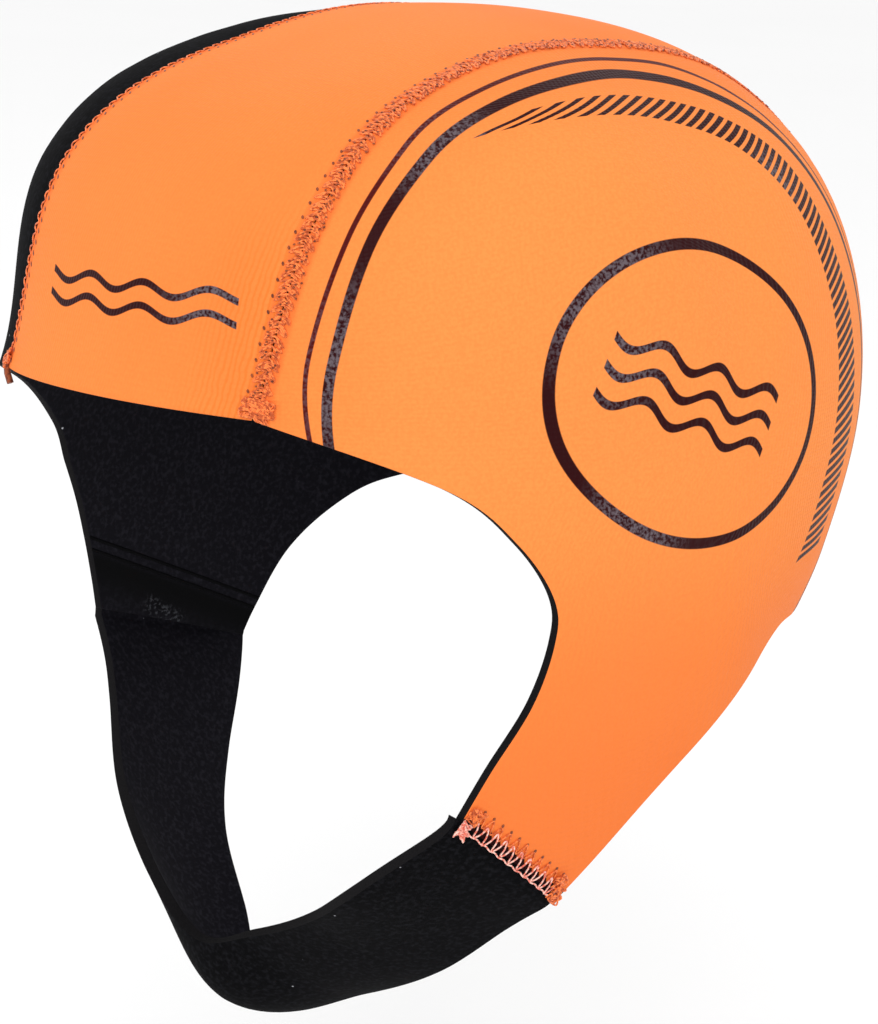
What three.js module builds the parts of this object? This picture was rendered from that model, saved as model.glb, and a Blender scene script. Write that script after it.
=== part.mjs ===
// A neoprene swim cap with ear flaps and a chin strap, in the shape that it has when worn.
// Millimetres, +Z up, the face looks along -Y and the wearer's left is +X.
// The origin is the inside of the crown's top, where the cap sits on the head.
import * as THREE from "three";

// Sheet and gaps
const WALL = 2.5;
const SEAM_GAP = 0.3;
const JOINT_GAP = 0.7;
const PATCH_THICKNESS = 1.2;
const PATCH_CLEARANCE = 0.3;

// Head form: half its width over the ears, and the height of the crown's inside over its centre.
// The side panels are drawn in the side view of this form, where y runs back and z runs up.
const HALF_WIDTH = 84;
const CROWN_RISE = 76.5;

// One row for each direction in the side view, in degrees: 0 is the face, 90 the top, 180 the back.
// reach is the distance from the head's centre to the outside of the cap on its middle line,
// square is the exponent that rounds the form from there towards the ear, and
// left and right are the distances from the middle line to the crown panel's seams,
// which sit a little towards the left over the forehead.
const FORM_STEP = 30;
const HEAD_FORM = [
  { at: 0, reach: 103, square: 2.15, left: 43, right: 31 },
  { at: 30, reach: 100, square: 2.5, left: 46, right: 26.5 },
  { at: 60, reach: 83.3, square: 3.15, left: 37, right: 25.5 },
  { at: 90, reach: 79, square: 2.5, left: 33.5, right: 27.5 },
  { at: 120, reach: 84.3, square: 2.35, left: 34.5, right: 32 },
  { at: 150, reach: 92.3, square: 2.1, left: 36.5, right: 36 },
  { at: 180, reach: 96, square: 2, left: 38, right: 38 },
  { at: 210, reach: 98.5, square: 2, left: 38, right: 38 },
  { at: 240, reach: 107.5, square: 2.2, left: 38, right: 38 },
  { at: 270, reach: 158, square: 2.6, left: 40, right: 38 },
  { at: 300, reach: 187, square: 2.65, left: 42, right: 36 },
  { at: 330, reach: 143, square: 2.4, left: 43, right: 34 },
];

// The crown panel runs over the head from the brow to the nape. The brow is a little lower on the right.
const BROW_ANGLE = { left: 5.5, right: 2 };
const NAPE_ANGLE = 206;

// Edges of the side panels in the side view, from the crown's seam down to the end of the flap.
const LEFT_FRONT_EDGE = [
  { y: -61.5, z: -2 },
  { y: -50, z: -12 },
  { y: -42.5, z: -23.5 },
  { y: -42, z: -32 },
  { y: -46, z: -44 },
  { y: -54, z: -56.5 },
  { y: -59.5, z: -66.5 },
];
const LEFT_REAR_EDGE = [
  { y: 62, z: -44 },
  { y: 47, z: -45 },
  { y: 33, z: -44 },
  { y: 18.5, z: -51 },
  { y: 3.5, z: -60.5 },
  { y: -11, z: -71 },
  { y: -25, z: -83 },
  { y: -32, z: -89 },
];
const RIGHT_FRONT_EDGE = [
  { y: -69, z: -11 },
  { y: -55, z: -24 },
  { y: -50, z: -35 },
  { y: -46, z: -45 },
  { y: -43, z: -56 },
  { y: -41, z: -66 },
  { y: -40, z: -73 },
];
const RIGHT_REAR_EDGE = [
  { y: 62, z: -43 },
  { y: 44, z: -46.5 },
  { y: 31, z: -51.5 },
  { y: 16, z: -64.5 },
  { y: 5.5, z: -79 },
  { y: 1, z: -86 },
];

// Sections of the chin strap on its middle sheet, from the left flap under the chin to the right flap.
// front and rear are the strap's two edges, and bow is how far its middle bulges away from the head.
const STRAP_SECTIONS = [
  { front: [55, -67.5, -88.5], rear: [64.5, -32.5, -100], bow: 0.5 },
  { front: [35, -62.5, -103.5], rear: [46.5, -34, -117], bow: 1.5 },
  { front: [15.5, -60.5, -115], rear: [23.5, -34.5, -132], bow: 3.5 },
  { front: [-2.5, -61.5, -123], rear: [-2, -41, -144.5], bow: 5.5 },
  { front: [-24, -59, -117], rear: [-25, -32.5, -132.5], bow: 4.5 },
  { front: [-47, -53, -105], rear: [-44.5, -25, -121], bow: 2 },
  { front: [-66, -43.5, -91], rear: [-61.5, -12.5, -109], bow: 0.5 },
];

// Where the strap is sewn to the end of the left flap, as shares of that end from its front corner:
// it sits a little forward of the flap.
const STRAP_JOINT = { front: -0.05, rear: 0.95 };

// Where the strap's far end lies on the outside of the right flap: side-view rows from low to high.
const STRAP_ON_FLAP = [
  { front: [-37, -76], rear: [3, -87] },
  { front: [-38, -56], rear: [4, -66] },
  { front: [-40, -38], rear: [6, -46] },
];
const PATCH_MARGIN = 0.12;
// How quickly the strap leaves the head form beyond its held sections.
const HOLD_FADE = 4;
// How quickly the rows of a side panel's grid lose the seam's curve on their way down to the flap.
const SEAM_FADE = 2.5;

// Steps of the grids
const CROWN_STEPS = { along: 44, across: 10 };
const PANEL_STEPS = { along: 32, across: 22 };
const STRAP_STEPS = { along: 48, across: 8 };
const PATCH_STEPS = { along: 8, across: 8 };

const ORANGE = 0xff8a45;
const BLACK = 0x1c1c20;
const HOOK_BLACK = 0x101012;

// Value of one column of the closed form table in a direction, by a Catmull-Rom curve.
function formColumn(name, degrees) {
  const count = HEAD_FORM.length;
  const place = (((degrees / FORM_STEP) % count) + count) % count;
  const first = Math.floor(place);
  const [a, b, c, d] = [-1, 0, 1, 2].map((k) => HEAD_FORM[(first + k + count) % count][name]);
  return catmullRom(a, b, c, d, place - first);
}

function catmullRom(a, b, c, d, t) {
  const square = 2 * a - 5 * b + 4 * c - d;
  const cube = 3 * b - a - 3 * c + d;
  return 0.5 * (2 * b + (c - a) * t + square * t * t + cube * t * t * t);
}

// Negative inside the head form, positive outside it.
function formValue(x, y, z) {
  const degrees = THREE.MathUtils.radToDeg(Math.atan2(z, -y));
  const power = formColumn("square", degrees);
  const inPlane = Math.hypot(y, z) / formColumn("reach", degrees);
  return inPlane ** power + (Math.abs(x) / HALF_WIDTH) ** power - 1;
}

function formNormal(point) {
  const h = 0.2;
  const slope = (dx, dy, dz) =>
    formValue(point.x + dx, point.y + dy, point.z + dz) - formValue(point.x - dx, point.y - dy, point.z - dz);
  return new THREE.Vector3(slope(h, 0, 0), slope(0, h, 0), slope(0, 0, h)).normalize();
}

// Point of the form at a distance x from the middle, in a direction of the side view.
function pointAtSeam(x, degrees) {
  const power = formColumn("square", degrees);
  const spread = (1 - (Math.abs(x) / HALF_WIDTH) ** power) ** (1 / power);
  const radius = formColumn("reach", degrees) * spread;
  const angle = THREE.MathUtils.degToRad(degrees);
  return new THREE.Vector3(x, -radius * Math.cos(angle), radius * Math.sin(angle));
}

// Point of the form's left (+1) or right (-1) half over a place of the side view.
function pointOnSide(side, y, z) {
  const degrees = THREE.MathUtils.radToDeg(Math.atan2(z, -y));
  const power = formColumn("square", degrees);
  const inPlane = Math.min(1, Math.hypot(y, z) / formColumn("reach", degrees));
  return new THREE.Vector3(side * HALF_WIDTH * (1 - inPlane ** power) ** (1 / power), y, z);
}

function sideView(row) {
  return new THREE.Vector2(row.y, row.z);
}

// Closed wall: a grid of places gives two skins, joined by a rim.
// placeAt(u, v) returns the pair of skin points at that place.
function wallGeometry(steps, placeAt) {
  const { along, across } = steps;
  const positions = [];
  const index = [];
  const skinSize = (along + 1) * (across + 1);
  const skins = [[], []];
  for (let i = 0; i <= along; i++) {
    for (let j = 0; j <= across; j++) {
      placeAt(i / along, j / across).forEach((point, skin) => skins[skin].push(...point.toArray()));
    }
  }
  positions.push(...skins[0], ...skins[1]);
  const corner = (i, j, skin) => i * (across + 1) + j + skin * skinSize;
  const quad = (a, b, c, d) => index.push(a, b, c, a, c, d);
  for (let i = 0; i < along; i++) {
    for (let j = 0; j < across; j++) {
      quad(corner(i, j, 0), corner(i + 1, j, 0), corner(i + 1, j + 1, 0), corner(i, j + 1, 0));
      quad(corner(i, j, 1), corner(i, j + 1, 1), corner(i + 1, j + 1, 1), corner(i + 1, j, 1));
    }
    quad(corner(i, 0, 0), corner(i, 0, 1), corner(i + 1, 0, 1), corner(i + 1, 0, 0));
    quad(corner(i, across, 0), corner(i + 1, across, 0), corner(i + 1, across, 1), corner(i, across, 1));
  }
  for (let j = 0; j < across; j++) {
    quad(corner(0, j, 0), corner(0, j + 1, 0), corner(0, j + 1, 1), corner(0, j, 1));
    quad(corner(along, j, 0), corner(along, j, 1), corner(along, j + 1, 1), corner(along, j + 1, 0));
  }
  const geometry = new THREE.BufferGeometry();
  geometry.setAttribute("position", new THREE.Float32BufferAttribute(positions, 3));
  geometry.setIndex(signedVolume(positions, index) < 0 ? turnedOver(index) : index);
  geometry.computeVertexNormals();
  return geometry;
}

function signedVolume(positions, index) {
  const vertex = (n) => new THREE.Vector3().fromArray(positions, 3 * n);
  let sum = 0;
  for (let n = 0; n < index.length; n += 3) {
    sum += vertex(index[n]).dot(vertex(index[n + 1]).cross(vertex(index[n + 2])));
  }
  return sum / 6;
}

function turnedOver(index) {
  const turned = [];
  for (let n = 0; n < index.length; n += 3) turned.push(index[n], index[n + 2], index[n + 1]);
  return turned;
}

// The two skins of a sheet that lies on the head form, at two distances outside it.
function skinsOnForm(point, outer, inner) {
  const normal = formNormal(point);
  return [point.clone().addScaledVector(normal, outer), point.clone().addScaledVector(normal, inner)];
}

function crownPanel() {
  return wallGeometry(CROWN_STEPS, (u, v) => {
    const browAngle = THREE.MathUtils.lerp(BROW_ANGLE.right, BROW_ANGLE.left, v);
    const degrees = THREE.MathUtils.lerp(browAngle, NAPE_ANGLE, u);
    const left = formColumn("left", degrees) - SEAM_GAP;
    const right = SEAM_GAP - formColumn("right", degrees);
    return skinsOnForm(pointAtSeam(THREE.MathUtils.lerp(right, left, v), degrees), 0, -WALL);
  });
}

// A side panel fills the four-sided field between the seam, its two free edges and the flap's end.
function sidePanelField(side, frontEdge, rearEdge) {
  const seam = (u) => {
    const degrees = THREE.MathUtils.lerp(BROW_ANGLE[side], NAPE_ANGLE, u);
    const point = pointAtSeam(formColumn(side, degrees) + SEAM_GAP, degrees);
    return new THREE.Vector2(point.y, point.z);
  };
  const edge = (start, rows) => new THREE.SplineCurve([start, ...rows.map(sideView)]);
  const front = edge(seam(0), frontEdge);
  const rear = edge(seam(1), rearEdge);
  return (u, v) => {
    const between = new THREE.Vector2().lerpVectors(front.getPointAt(v), rear.getPointAt(v), u);
    const seamStraight = new THREE.Vector2().lerpVectors(seam(0), seam(1), u);
    return between.addScaledVector(seam(u).sub(seamStraight), (1 - v) ** SEAM_FADE);
  };
}

function sidePanel(side, frontEdge, rearEdge) {
  const field = sidePanelField(side, frontEdge, rearEdge);
  const half = side === "left" ? 1 : -1;
  return wallGeometry(PANEL_STEPS, (u, v) => {
    const place = field(u, v);
    return skinsOnForm(pointOnSide(half, place.x, place.y), 0, -WALL);
  });
}

// Distance of the strap's middle sheet outside the form where it lies on the right flap.
const STRAP_LIFT = PATCH_CLEARANCE + PATCH_THICKNESS + PATCH_CLEARANCE + WALL / 2;

// All sections of the strap, each with its two edge points, its bow and how firmly it is held
// on the form: 1 where it is sewn to the left flap or lies on the right one, 0 where it is free.
function strapSections() {
  const flapFront = sideView(LEFT_FRONT_EDGE.at(-1));
  const flapRear = sideView(LEFT_REAR_EDGE.at(-1));
  const flapEnd = flapRear.clone().sub(flapFront);
  const away = new THREE.Vector2(flapEnd.y, -flapEnd.x).setLength(JOINT_GAP);
  const atJoint = (share) => flapFront.clone().addScaledVector(flapEnd, share).add(away).toArray();
  const held = (side, front, rear, lift) => ({
    front: pointOnSide(side, ...front),
    rear: pointOnSide(side, ...rear),
    bow: 0,
    held: 1,
    side,
    lift,
  });
  return [
    held(1, atJoint(STRAP_JOINT.front), atJoint(STRAP_JOINT.rear), -WALL / 2),
    ...STRAP_SECTIONS.map((row) => ({
      front: new THREE.Vector3(...row.front),
      rear: new THREE.Vector3(...row.rear),
      bow: row.bow,
      held: 0,
      side: Math.sign(row.front[0] + row.rear[0]),
      lift: row.front[0] > 0 ? -WALL / 2 : STRAP_LIFT,
    })),
    ...STRAP_ON_FLAP.map((row) => held(-1, row.front, row.rear, STRAP_LIFT)),
  ];
}

// Middle sheet of the strap at a share u of its length and a share v of its width.
function strapMiddle(sections) {
  const front = new THREE.CatmullRomCurve3(sections.map((s) => s.front), false, "catmullrom", 0.5);
  const rear = new THREE.CatmullRomCurve3(sections.map((s) => s.rear), false, "catmullrom", 0.5);
  const last = sections.length - 1;
  const between = (name, u) => {
    const first = Math.min(Math.floor(u * last), last - 1);
    return THREE.MathUtils.lerp(sections[first][name], sections[first + 1][name], u * last - first);
  };
  return (u, v) => {
    const frontPoint = front.getPoint(u);
    const rearPoint = rear.getPoint(u);
    const across = rearPoint.clone().sub(frontPoint);
    const forward = front.getTangent(u).add(rear.getTangent(u));
    const outward = forward.cross(across).normalize();
    const free = new THREE.Vector3().lerpVectors(frontPoint, rearPoint, v);
    free.addScaledVector(outward, between("bow", u) * 4 * v * (1 - v));
    const nearest = sections[Math.round(u * last)];
    const hold = between("held", u) ** HOLD_FADE;
    if (hold === 0) return free;
    const onForm = pointOnSide(nearest.side, free.y, free.z);
    onForm.addScaledVector(formNormal(onForm), nearest.lift);
    return free.lerp(onForm, hold);
  };
}

function chinStrap() {
  const middle = strapMiddle(strapSections());
  const h = 0.004;
  return wallGeometry(STRAP_STEPS, (u, v) => {
    const along = middle(Math.min(1, u + h), v).sub(middle(Math.max(0, u - h), v));
    const across = middle(u, Math.min(1, v + h)).sub(middle(u, Math.max(0, v - h)));
    const normal = along.cross(across).normalize();
    const point = middle(u, v);
    return [
      point.clone().addScaledVector(normal, WALL / 2),
      point.clone().addScaledVector(normal, -WALL / 2),
    ];
  });
}

// The fastening patch between the right flap and the strap's end.
function fastenerPatch() {
  const low = STRAP_ON_FLAP[0];
  const high = STRAP_ON_FLAP.at(-1);
  const margin = (share) => THREE.MathUtils.lerp(PATCH_MARGIN, 1 - PATCH_MARGIN, share);
  const corner = (row, v) => new THREE.Vector2(...row.front).lerp(new THREE.Vector2(...row.rear), margin(v));
  return wallGeometry(PATCH_STEPS, (u, v) => {
    const place = corner(low, v).lerp(corner(high, v), margin(u));
    const outer = PATCH_CLEARANCE + PATCH_THICKNESS;
    return skinsOnForm(pointOnSide(-1, place.x, place.y), outer, PATCH_CLEARANCE);
  });
}

function piece(name, geometry, color, roughness) {
  const mesh = new THREE.Mesh(geometry, new THREE.MeshStandardMaterial({ color, roughness, metalness: 0 }));
  mesh.name = name;
  return mesh;
}

const cap = new THREE.Group();
cap.position.z = -CROWN_RISE;
cap.add(
  piece("crown_panel", crownPanel(), ORANGE, 0.7),
  piece("left_panel", sidePanel("left", LEFT_FRONT_EDGE, LEFT_REAR_EDGE), ORANGE, 0.7),
  piece("right_panel", sidePanel("right", RIGHT_FRONT_EDGE, RIGHT_REAR_EDGE), BLACK, 0.75),
  piece("chin_strap", chinStrap(), BLACK, 0.75),
  piece("fastener_patch", fastenerPatch(), HOOK_BLACK, 0.9),
);

const swimCap = new THREE.Group();
swimCap.add(cap);

export default swimCap;
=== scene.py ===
# %% [markdown]
# # A neoprene swim cap
# This lesson dresses a worn swim cap: three panels of foam faced with jersey, a chin strap,
# the threads of its seams, and a dark print. The imported model fixes the size and the place of
# every panel, so the first step loads it.

# %% Load the frame
import math

import bmesh
import bpy
import numpy as np
from mathutils import Matrix, Vector


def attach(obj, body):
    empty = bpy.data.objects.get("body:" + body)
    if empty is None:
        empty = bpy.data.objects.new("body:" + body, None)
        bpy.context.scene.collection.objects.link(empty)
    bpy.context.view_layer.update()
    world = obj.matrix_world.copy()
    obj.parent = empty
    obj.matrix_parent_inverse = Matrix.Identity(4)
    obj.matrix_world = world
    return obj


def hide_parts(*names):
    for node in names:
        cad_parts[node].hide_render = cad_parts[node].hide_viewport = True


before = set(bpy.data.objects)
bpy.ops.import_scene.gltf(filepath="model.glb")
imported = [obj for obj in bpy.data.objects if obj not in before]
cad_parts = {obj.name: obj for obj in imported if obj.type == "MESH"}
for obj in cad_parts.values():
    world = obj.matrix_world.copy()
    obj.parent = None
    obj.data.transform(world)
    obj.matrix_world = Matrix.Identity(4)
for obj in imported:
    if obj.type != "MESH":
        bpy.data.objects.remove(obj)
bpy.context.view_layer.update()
MM = 0.001
print("loaded", sorted(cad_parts))

# %% [markdown]
# ## The camera
# A camera that stands to the front left of the wearer and a little above sees the near side
# panel, the forehead and the inside of the far flap. It is turned by an azimuth round the head,
# an elevation and a small roll, and the focal length follows from the picture's long side.

# %% Place the camera
LONG_SIDE_PX = 1024
FOCAL_PX = 2523.55
SENSOR = 36.0
CAMERA_PLACE = Vector((408.3, -363.1, 50.3)) * MM
AZIMUTH, ELEVATION, ROLL = (math.radians(angle) for angle in (48.5, 16.318, 3.982))

camera_data = bpy.data.cameras.new("camera")
camera_data.sensor_width = SENSOR
camera_data.lens = FOCAL_PX / LONG_SIDE_PX * SENSOR
camera = bpy.data.objects.new("camera", camera_data)
turn = Matrix.Rotation(AZIMUTH, 4, "Z") @ Matrix.Rotation(math.pi / 2 - ELEVATION, 4, "X")
camera.matrix_world = Matrix.Translation(CAMERA_PLACE) @ turn @ Matrix.Rotation(ROLL, 4, "Z")
bpy.context.scene.collection.objects.link(camera)
bpy.context.scene.camera = camera
print("lens", round(camera_data.lens, 2), "mm")

# %% [markdown]
# ## The head form
# Neoprene stretches to the head, so all three panels lie on one smooth form. It could be
# sculpted, but a short table is easier to keep: a row for each direction of the side view, with
# the form's reach, how square it is towards the ear, and where the crown's two seams run.
# The numbers are the frame's own, in millimetres from the head's centre.

# %% Sizes of the head form
WALL = 2.5
CLOTH_GAP = 0.06
HALF_WIDTH = 84.0
CROWN_RISE = 76.5
FORM_STEP = 30
HEAD_FORM = [
    dict(at=0, reach=103, square=2.15, left=43, right=31),
    dict(at=30, reach=100, square=2.5, left=46, right=26.5),
    dict(at=60, reach=83.3, square=3.15, left=37, right=25.5),
    dict(at=90, reach=79, square=2.5, left=33.5, right=27.5),
    dict(at=120, reach=84.3, square=2.35, left=34.5, right=32),
    dict(at=150, reach=92.3, square=2.1, left=36.5, right=36),
    dict(at=180, reach=96, square=2, left=38, right=38),
    dict(at=210, reach=98.5, square=2, left=38, right=38),
    dict(at=240, reach=107.5, square=2.2, left=38, right=38),
    dict(at=270, reach=158, square=2.6, left=40, right=38),
    dict(at=300, reach=187, square=2.65, left=42, right=36),
    dict(at=330, reach=143, square=2.4, left=43, right=34),
]
BROW_ANGLE = dict(left=5.5, right=2)
NAPE_ANGLE = 206
print("head form:", len(HEAD_FORM), "rows,", 2 * HALF_WIDTH, "mm over the ears")


# %% [markdown]
# Between the rows of such a table a Catmull-Rom curve gives every value in between, and passes
# through the rows themselves. The same curve serves the edges, the print and the threads.

# %% Smooth curves through rows
def spline(values, place):
    """Catmull-Rom curve through the values, at places counted in rows."""
    values = np.asarray(values, float)
    place = np.clip(np.asarray(place, float), 0, len(values) - 1)
    first = np.minimum(place.astype(int), len(values) - 2)
    t = place - first
    if values.ndim > 1:
        t = t[..., None]
    a, b, c, d = (values[np.clip(first + k, 0, len(values) - 1)] for k in (-1, 0, 1, 2))
    square = 2 * a - 5 * b + 4 * c - d
    cube = 3 * b - a - 3 * c + d
    return 0.5 * (2 * b + (c - a) * t + square * t**2 + cube * t**3)


def form_column(name, degrees):
    """A column of the head form, whose rows close into a ring."""
    values = [row[name] for row in HEAD_FORM]
    place = np.mod(np.asarray(degrees, float), 360) / FORM_STEP
    return spline(values[-1:] + values + values[:2], place + 1)


print("reach between two rows", form_column("reach", [0, 15, 30]).round(1), "mm")

# %% [markdown]
# Each direction's section, in a plane through both ears, is a superellipse: an oval at a power of
# two, and a rounded square above it. Such a surface is simple to solve: a distance from the
# middle and a direction, or a place of the side view, give the missing coordinate.

# %% Points on the form
def direction_of(y, z):
    return np.degrees(np.arctan2(z, -y))


def form_value(points):
    """Negative inside the form, positive outside it."""
    x, y, z = points.T
    degrees = direction_of(y, z)
    power = form_column("square", degrees)
    in_plane = np.hypot(y, z) / form_column("reach", degrees)
    return in_plane**power + (np.abs(x) / HALF_WIDTH) ** power - 1


def form_normal(points, h=0.2):
    steps = [np.array(axis) * h for axis in ((1, 0, 0), (0, 1, 0), (0, 0, 1))]
    slope = [form_value(points + step) - form_value(points - step) for step in steps]
    slope = np.stack(slope, 1)
    return slope / np.linalg.norm(slope, axis=1, keepdims=True)


def point_at_seam(x, degrees):
    """Point of the form at a distance x from the middle, in a direction of the side view."""
    x, degrees = np.broadcast_arrays(np.asarray(x, float), np.asarray(degrees, float))
    power = form_column("square", degrees)
    spread = (1 - (np.abs(x) / HALF_WIDTH) ** power) ** (1 / power)
    radius = form_column("reach", degrees) * spread
    angle = np.radians(degrees)
    return np.stack([x, -radius * np.cos(angle), radius * np.sin(angle)], -1)


def point_on_side(side, y, z):
    """Point of the form's left (+1) or right (-1) half over a place of the side view."""
    y, z = np.broadcast_arrays(np.asarray(y, float), np.asarray(z, float))
    degrees = direction_of(y, z)
    power = form_column("square", degrees)
    in_plane = np.minimum(1, np.hypot(y, z) / form_column("reach", degrees))
    x = side * HALF_WIDTH * (1 - in_plane**power) ** (1 / power)
    return np.stack([x, y, z], -1)


def in_row_frame(points):
    """Metres from the inside of the crown's top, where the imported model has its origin."""
    return (np.asarray(points) - (0, 0, CROWN_RISE)) * MM


print("outside of the crown's top at", point_at_seam(0, 90).round(1), "mm")

# %% [markdown]
# ## Materials
# The jersey is a fine knit glued to black foam. Its colour wanders a little, it has hardly any
# gloss of its own, and the loops show only as a faint relief. Such a finish could be painted, but
# a tree of nodes needs no picture and fits any size. A small recipe class keeps the trees short:
# each call adds one node and returns its output.

# %% A helper for node trees
class Recipe:
    def __init__(self, name, roughness, **inputs):
        self.material = bpy.data.materials.new(name)
        self.material.use_nodes = True
        self.tree = self.material.node_tree
        self.shader = self.tree.nodes["Principled BSDF"]
        self.shader.inputs["Roughness"].default_value = roughness
        for socket, value in inputs.items():
            self.shader.inputs[socket.replace("_", " ")].default_value = value

    def add(self, kind, output=0, inputs=(), **settings):
        node = self.tree.nodes.new(kind)
        for setting, value in settings.items():
            setattr(node, setting, value)
        for socket, value in dict(inputs).items():
            if isinstance(value, bpy.types.NodeSocket):
                self.tree.links.new(value, node.inputs[socket])
            else:
                node.inputs[socket].default_value = value
        return node.outputs[output]

    def place(self):
        return self.add("ShaderNodeTexCoord", "Object")

    def cloth(self):
        return self.add("ShaderNodeUVMap", "UV", uv_map="cloth")

    def value(self, name):
        return self.add("ShaderNodeAttribute", "Fac", attribute_name=name)

    def math(self, operation, a, b=0.0):
        return self.add("ShaderNodeMath", 0, {0: a, 1: b}, operation=operation)

    def noise(self, scale, detail=2.0, vector=None):
        inputs = {"Vector": vector or self.place(), "Scale": scale, "Detail": detail}
        return self.add("ShaderNodeTexNoise", "Fac", inputs)

    def fade(self, value, low, high, start=0.0, end=1.0):
        inputs = {"Value": value, "From Min": low, "From Max": high, "To Min": start, "To Max": end}
        return self.add("ShaderNodeMapRange", "Result", inputs, interpolation_type="SMOOTHSTEP")

    def parts(self, vector):
        return self.add("ShaderNodeSeparateXYZ", inputs={0: vector}).node.outputs

    def mix(self, share, a, b):
        return self.add("ShaderNodeMix", 2, {0: share, 6: a, 7: b}, data_type="RGBA")

    def band(self, value, half_width, soft=0.12):
        """1 where the value lies within half a width of zero, with a soft edge."""
        away = self.math("ABSOLUTE", value)
        return self.fade(away, half_width - soft, half_width + soft, 1.0, 0.0)

    def bump(self, height, strength, distance, under=None):
        inputs = {"Height": height, "Strength": strength, "Distance": distance}
        if under is not None:
            inputs["Normal"] = under
        return self.add("ShaderNodeBump", "Normal", inputs)

    def finish(self, color=None, roughness=None, normal=None):
        for socket, value in (("Base Color", color), ("Roughness", roughness), ("Normal", normal)):
            if value is not None:
                self.tree.links.new(value, self.shader.inputs[socket])
        print("material", self.material.name, len(self.tree.nodes), "nodes")
        return self.material


# %% [markdown]
# ## Orange jersey
# Dyed knit is never one flat colour. Two oranges are mixed by slow noise, and the lighter one also
# stands for a painted highlight on the upper part of the near side. A deeper red orange paints
# shade right beside the seams and towards the flap's end. The knit is a fine rib with a wave across
# it, so the loops catch the light.

# %% Orange jersey
ORANGE = (0.9, 0.225, 0.045, 1.0)
ORANGE_TONE_AND_HIGHLIGHT = (0.92, 0.285, 0.065, 1.0)
ORANGE_RED_AND_SHADE = (0.85, 0.185, 0.038, 1.0)
RIB = 0.8
LOOP = 1.1
# Reach of the painted shade beside the seams, in millimetres.
SEAM_SHADE_REACH = (3.2, 2.0)
JERSEY_LOOK = dict(Specular_IOR_Level=0.08)


def knit_height(recipe):
    """Rows of loops: ribs side by side across the cloth, broken by a wave along it."""
    along, across, _ = recipe.parts(recipe.cloth())
    wander = recipe.math("MULTIPLY", recipe.noise(900.0), 5.0)
    rib = recipe.math("ADD", recipe.math("MULTIPLY", across, 2 * math.pi / (RIB * MM)), wander)
    loop = recipe.math("ADD", recipe.math("MULTIPLY", along, 2 * math.pi / (LOOP * MM)), wander)
    return recipe.math("ADD", recipe.math("SINE", rib), recipe.math("SINE", loop))


def jersey_color(recipe):
    x, _, z = recipe.parts(recipe.place())
    # Painted highlight: the lighter orange comes in on the upper part of the near side, where the
    # lamp falls.
    light = recipe.math("MULTIPLY", recipe.fade(x, 0.035, 0.07), recipe.fade(z, -0.14, -0.07))
    slow = recipe.math("MULTIPLY", recipe.fade(recipe.noise(14.0, 3.0), 0.35, 0.65), 0.35)
    fine = recipe.fade(recipe.noise(1500.0, 1.0), 0.3, 0.7)
    ground = recipe.mix(recipe.math("MAXIMUM", slow, light), ORANGE, ORANGE_TONE_AND_HIGHLIGHT)
    ground = recipe.mix(recipe.math("MULTIPLY", fine, 0.25), ground, ORANGE_RED_AND_SHADE)
    # Painted shade: the deeper red orange darkens the jersey towards the bottom and right beside
    # the seams.
    low = recipe.fade(z, -0.085, -0.16)
    by_seam = recipe.fade(recipe.value("seam"), *SEAM_SHADE_REACH)
    painted_shade = recipe.math("MAXIMUM", recipe.math("MULTIPLY", low, 0.8), by_seam)
    return recipe.mix(painted_shade, ground, ORANGE_RED_AND_SHADE)


# %% [markdown]
# ## Black cloth
# The outside of the far panel and the strap, and the lining of the whole cap, are black jersey.
# It reflects almost nothing, so a fine noise and a few clinging fibres are all that shows. The
# cut edge is bare foam. On the far lining two dark rows mark the join of the flap, a painted shade
# darkens a band just under them, and grey hook fibres stand beneath them.

# %% Colours of the black cloth
BLACK = (0.002, 0.002, 0.0025, 1.0)
BLACK_WORN = (0.008, 0.008, 0.01, 1.0)
LINING = (0.006, 0.0055, 0.0085, 1.0)
LINING_WORN = (0.016, 0.015, 0.021, 1.0)
LINT = (0.55, 0.56, 0.6, 1.0)
FIBRE_GREY = (0.05, 0.052, 0.06, 1.0)
FLAP_ROWS = ((-20.5, -66.2), -24.6)
FLAP_ROW_GAP = 2.6
FIBRES = ((-21.5, -76.7), -33.0)
FIBRE_REACH = (6, 2)
LINT_SPACING = 4.5
LINT_SIZE = 0.4


# %% Masks that several materials share
def lint_mask(recipe, spacing, size):
    """A few fibres that cling to the cloth: small spots at one cell in many."""
    inputs = {"Vector": recipe.place(), "Scale": 1 / (spacing * MM)}
    cells = recipe.add("ShaderNodeTexVoronoi", "Distance", inputs)
    pick = recipe.add("ShaderNodeSeparateColor", 0, {0: cells.node.outputs["Color"]})
    chosen = recipe.fade(pick, 0.86, 0.87)
    near = recipe.fade(cells, size / spacing, 0.6 * size / spacing)
    return recipe.math("MULTIPLY", near, chosen)


def flat_view(recipe, across, up, centre, turn):
    """Flat coordinates of a print: a view of the piece, centred and turned to the print."""
    view = recipe.add("ShaderNodeCombineXYZ", 0, {0: across, 1: up})
    place = Vector((centre[0], centre[1] - CROWN_RISE, 0)) * MM
    inputs = {"Vector": view, "Location": place, "Rotation": (0, 0, math.radians(turn))}
    return recipe.add("ShaderNodeMapping", 0, inputs, vector_type="TEXTURE")


# %% Black jersey, plain and with the marks of the flap
def black_ground(recipe, deep, light):
    worn = recipe.fade(recipe.noise(900.0, 3.0), 0.42, 0.75)
    ground = recipe.mix(worn, deep, light)
    return recipe.mix(lint_mask(recipe, LINT_SPACING, LINT_SIZE), ground, LINT)


def black_jersey(name, deep, light, gloss):
    recipe = Recipe(name, 0.85, Specular_IOR_Level=gloss)
    normal = recipe.bump(recipe.noise(1400.0, 2.0), 0.4, 0.0001)
    return recipe.finish(black_ground(recipe, deep, light), None, normal)


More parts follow.
